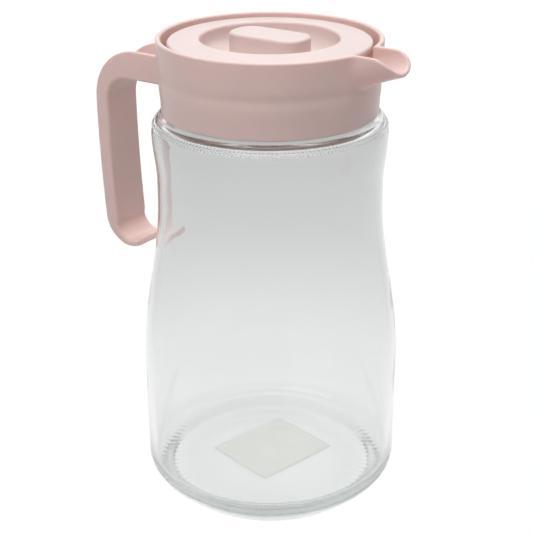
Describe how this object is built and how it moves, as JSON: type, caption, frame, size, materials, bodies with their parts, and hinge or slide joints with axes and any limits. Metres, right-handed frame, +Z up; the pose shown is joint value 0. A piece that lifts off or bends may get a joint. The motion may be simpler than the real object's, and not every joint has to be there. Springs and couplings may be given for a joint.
{
  "type": "glass pitcher with lid",
  "caption": "Clear glass pitcher with a pink screw-on plastic collar that carries the spout and the strap handle, and a lift-out lid with a sunk grip bar.",
  "frame": {"origin": "middle of the base, on the surface the pitcher stands on", "axes": "+Z up along the axis of the glass, +X towards the spout, the handle is on the -X side"},
  "size_m": [0.1618, 0.1194, 0.2189],
  "materials": {
    "clear_glass": "polished",
    "pink_plastic": "satin polypropylene",
    "silicone": "translucent silicone",
    "label_paper": "blank coated paper"
  },
  "bodies": {
    "jar": {"glass_body": "clear_glass", "base_label": "label_paper"},
    "ring": {"neck_ring": "silicone"},
    "collar": {"collar": "pink_plastic"},
    "seal": {"lid_seal": "silicone"},
    "lid": {"lid_cover": "pink_plastic", "lid_plug": "pink_plastic"}
  },
  "joints": [
    {"name": "collar_rise", "type": "slide", "parent": "jar", "child": "ring", "axis": [0, 0, 1], "range_m": [0, 0.018]},
    {"name": "collar_turn", "type": "hinge", "parent": "ring", "child": "collar", "pos_m": [0, 0, 0.2], "axis": [0, 0, 1], "range_deg": [0, 539]},
    {"name": "lid_lift", "type": "slide", "parent": "collar", "child": "seal", "axis": [0, 0, 1], "range_m": [0, 0.06]},
    {"name": "lid_turn", "type": "hinge", "parent": "seal", "child": "lid", "pos_m": [0, 0, 0.2], "axis": [0, 0, 1], "range_deg": [0, 180]}
  ],
  "couplings": [
    {"joint": "collar_rise", "follows": "collar_turn", "m_per_rad": 0.0019099}
  ]
}
